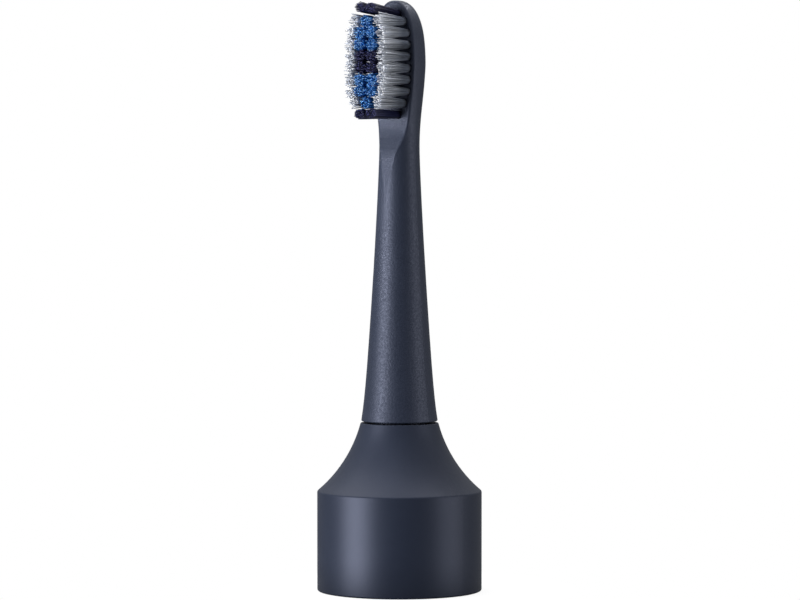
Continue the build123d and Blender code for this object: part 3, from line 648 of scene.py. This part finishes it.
def thread_tree():
    """The tree: points of tufts in, a bundle of threads on each out."""
    tree = bpy.data.node_groups.new("bristle_threads", "GeometryNodeTree")
    keys = tree_inputs(tree)
    tree.interface.new_socket("Bristles", in_out="OUTPUT", socket_type="NodeSocketGeometry")
    wires = Wires(tree)
    given = wires.add("NodeGroupInput").outputs
    seed, radius, count = given["Seed"], given["Thread radius"], given["Threads per tuft"]

    copies = wires.add(
        "GeometryNodeDuplicateElements", {"Geometry": given["Tufts"], "Amount": count}, domain="POINT"
    )
    number = copies.outputs["Duplicate Index"]
    rank = read(wires, "rank", "INT")
    own = wires.math("ADD", number, wires.math("MULTIPLY", rank, TUFT_STEP))
    across, along = sunflower(wires, number, count, rank)

    tip_across, root_half, tip_along = wires.split(read(wires, "half", "FLOAT_VECTOR"))
    inside = wires.math("SUBTRACT", root_half, radius)
    in_hole = wires.join(wires.math("MULTIPLY", across, inside), 0.0, wires.math("MULTIPLY", along, inside))
    moves = {"Geometry": copies.outputs["Geometry"], "Offset": in_hole}
    placed = wires.add("GeometryNodeSetPosition", moves)
    foot = wires.add("GeometryNodeInputPosition").outputs[0]

    def place_at_tip(disc, half_size, first_seed):
        """Place of a thread's end on one axis of the tip: its own sway and the lean of its tuft added."""
        wide = wires.math("MULTIPLY", half_size, given["Tip spread"])
        spot = wires.math("MULTIPLY", disc, wires.math("SUBTRACT", wide, radius))
        swing = chance(wires, -1.0, 1.0, wires.math("ADD", seed, first_seed), own)
        tilt = chance(wires, -1.0, 1.0, wires.math("ADD", seed, first_seed + 1.0), rank)
        moved = wires.math("ADD", spot, wires.math("MULTIPLY", swing, given["Sway"]))
        return wires.math("ADD", moved, wires.math("MULTIPLY", tilt, given["Tuft lean"]))

    shorter = wires.math("MULTIPLY", chance(wires, 0.0, 1.0, seed, own), given["Length spread"])
    at_tip = wires.join(
        place_at_tip(across, tip_across, SEED_ACROSS), shorter, place_at_tip(along, tip_along, SEED_ALONG)
    )
    tip_middle = read(wires, "tip", "FLOAT_VECTOR")
    tip = wires.add("ShaderNodeVectorMath", {0: tip_middle, 1: at_tip}, operation="ADD").outputs[0]
    lean = wires.add("ShaderNodeVectorMath", {0: tip, 1: foot}, operation="SUBTRACT").outputs[0]
    length = wires.add("ShaderNodeVectorMath", {0: lean}, operation="LENGTH").outputs["Value"]
    aim_rod = wires.add("FunctionNodeAlignRotationToVector", {"Vector": lean}, axis="Z")

    stands = {
        "Points": placed.outputs["Geometry"],
        "Instance": thread_rod(wires, given["Sides"], radius),
        "Rotation": aim_rod.outputs["Rotation"],
        "Scale": wires.join(1.0, 1.0, length),
    }
    rods = wires.add("GeometryNodeInstanceOnPoints", stands).outputs["Instances"]
    index = wires.add("GeometryNodeInputIndex").outputs[0]
    shade = chance(wires, 0.0, 1.0, wires.math("ADD", seed, SEED_SHADE), index)
    shaded = keep(wires, rods, "shade", shade, "INSTANCE")
    plain = wires.add("GeometryNodeRealizeInstances", {"Geometry": shaded}).outputs["Geometry"]
    smooth = wires.add("GeometryNodeSetShadeSmooth", {"Geometry": plain}).outputs["Geometry"]
    dressed = wires.add("GeometryNodeSetMaterial", {"Geometry": smooth, "Material": given["Finish"]})
    wires.add("NodeGroupOutput", {"Bristles": dressed.outputs["Geometry"]})
    return tree, keys


bristle_tree, bristle_keys = thread_tree()
print("tree nodes:", len(bristle_tree.nodes))

# %% [markdown]
# Nylon shows its colour along a thread's sides. The finish also paints light on it. The colour darkens
# towards the root as painted shade, where the head and the other threads keep light away. About a third
# of the threads turn pale at the tip, a painted glint for light that comes out of the cut end. A picture
# could colour the threads, but they would have to be unwrapped for it. The finish reads two stored numbers
# instead: how far along the thread a point lies, and each thread's own shade, a random tone that also picks
# which ends glint, so that neighbours differ. The pale rows are of clear nylon. Light wanders through it,
# which subsurface scattering gives at the scale of one thread.

# %% Write the bristle finishes
NYLON_ROUGHNESS = 0.35
LIGHT_WANDER = 0.3 * MM
ROOT_SHADE_END = 0.3
SIDE_FULL = 1.0
SHADE_LOW = 0.4
SHADE_HIGH = 1.2
# Threads whose random shade passes these values get the painted glint at their end.
GLINT_PICK_START = 0.6
GLINT_PICK_FULL = 0.8


def attribute(wires, name):
    """A number that each thread carries."""
    return wires.add("ShaderNodeAttribute", attribute_name=name).outputs["Fac"]


def nylon(name, root, side, end, glint_start, clear=0.0):
    """Threads with painted shade towards the root and a random tone each. About a third end in a painted
    glint.
    """
    material, wires, shader = new_material(name)
    along = attribute(wires, "along")
    shade = attribute(wires, "shade")
    # Painted shade: the colour ramps from the darker root colour up to the side colour, for shade near the
    # head.
    colour = two_tones(wires, along, root, side, ROOT_SHADE_END, SIDE_FULL)
    value = wires.stretch(shade, 0, 1, SHADE_LOW, SHADE_HIGH)
    tint = wires.add("ShaderNodeHueSaturation", {"Color": colour, "Value": value})
    # Painted glint: near the tip, about a third of the threads turn to the pale end colour, for light
    # coming out of the cut end.
    glint_zone = wires.stretch(along, glint_start, 1)
    end_glint = wires.math("MULTIPLY", glint_zone, wires.stretch(shade, GLINT_PICK_START, GLINT_PICK_FULL))
    blend = {"Factor": end_glint, "A": tint.outputs["Color"], "B": end}
    glinting_colour = wires.add("ShaderNodeMix", blend, data_type="RGBA")
    skin = {
        "Base Color": glinting_colour.outputs["Result"],
        "Roughness": NYLON_ROUGHNESS,
        "Subsurface Weight": clear,
        "Subsurface Radius": (1, 1, 1),
        "Subsurface Scale": LIGHT_WANDER,
    }
    wires.feed(shader, skin)
    return material


# In each finish, root is painted shade near the head, end is a painted glint at the tip, and side is the
# thread's own colour.
clear_nylon = nylon(
    "clear_nylon",
    root=srgb(112, 119, 133),
    side=srgb(222, 227, 238),
    end=srgb(240, 241, 244),
    glint_start=0.95,
    clear=0.6,
)
blue_nylon = nylon(
    "blue_nylon", root=srgb(16, 54, 116), side=srgb(38, 117, 197), end=srgb(138, 192, 238), glint_start=0.93
)
navy_nylon = nylon(
    "navy_nylon", root=srgb(23, 24, 54), side=srgb(35, 37, 76), end=srgb(72, 74, 124), glint_start=0.93
)
print("bristle finishes:", clear_nylon.name, blue_nylon.name, navy_nylon.name)

# %% [markdown]
# Four kinds of tuft fill the head: pale ones in the outer rows, blue and navy ones in the middle and navy
# ones at both ends. The pale bundles have fewer threads, which spread wider and flare. Each kind could
# have a tree of its own. One tree with other numbers for each is shorter, and the result is kept as a plain
# mesh that takes the place of the solid tufts and rides on the brush.

# %% Grow the bristles
SEED_STEP = 10

# Sway and flare are in millimetres.
Bundle = namedtuple("Bundle", "finish slot threads tip_spread sway flare")
bundles = {
    "grey_side_tufts": Bundle(clear_nylon, "grey_bristle", 60, 1.28, 0.36, 0.3),
    "blue_tufts": Bundle(blue_nylon, "blue_bristle", 90, 1.15, 0.22, 0),
    "navy_centre_tufts": Bundle(navy_nylon, "navy_bristle", 90, 1.15, 0.22, 0),
    "navy_end_tufts": Bundle(navy_nylon, "navy_bristle", 90, 1.15, 0.1, 0),
}


def grow_threads(node, bundle, seed):
    """The mesh of a node's threads, grown by the tree from one point per tuft."""
    seedbed = bpy.data.objects.new(node + "_seedbed", tuft_points(node, bundle.flare))
    scene.collection.objects.link(seedbed)
    modifier = seedbed.modifiers.new("threads", "NODES")
    modifier.node_group = bristle_tree
    modifier[bristle_keys["Threads per tuft"]] = bundle.threads
    modifier[bristle_keys["Tip spread"]] = bundle.tip_spread
    modifier[bristle_keys["Sway"]] = bundle.sway * MM
    modifier[bristle_keys["Seed"]] = seed
    modifier[bristle_keys["Finish"]] = bundle.finish
    bpy.context.view_layer.update()
    grown = seedbed.evaluated_get(bpy.context.evaluated_depsgraph_get())
    mesh = bpy.data.meshes.new_from_object(grown)
    mesh.name = node + "_threads"
    bpy.data.objects.remove(seedbed)
    return mesh


for order, (node, bundle) in enumerate(bundles.items()):
    mesh = grow_threads(node, bundle, SEED_STEP * order + 1)
    bristles = bpy.data.objects.new(node + "_threads", mesh)
    scene.collection.objects.link(bristles)
    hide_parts(node)
    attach(bristles, "brush")
    print(node, "triangles:", sum(len(face.vertices) - 2 for face in mesh.polygons))

# %% [markdown]
# ## Finish
#
# The view transform is the plain one, so that colours come out as they were picked.

# %% Set the view transform
scene.view_settings.view_transform = "Standard"
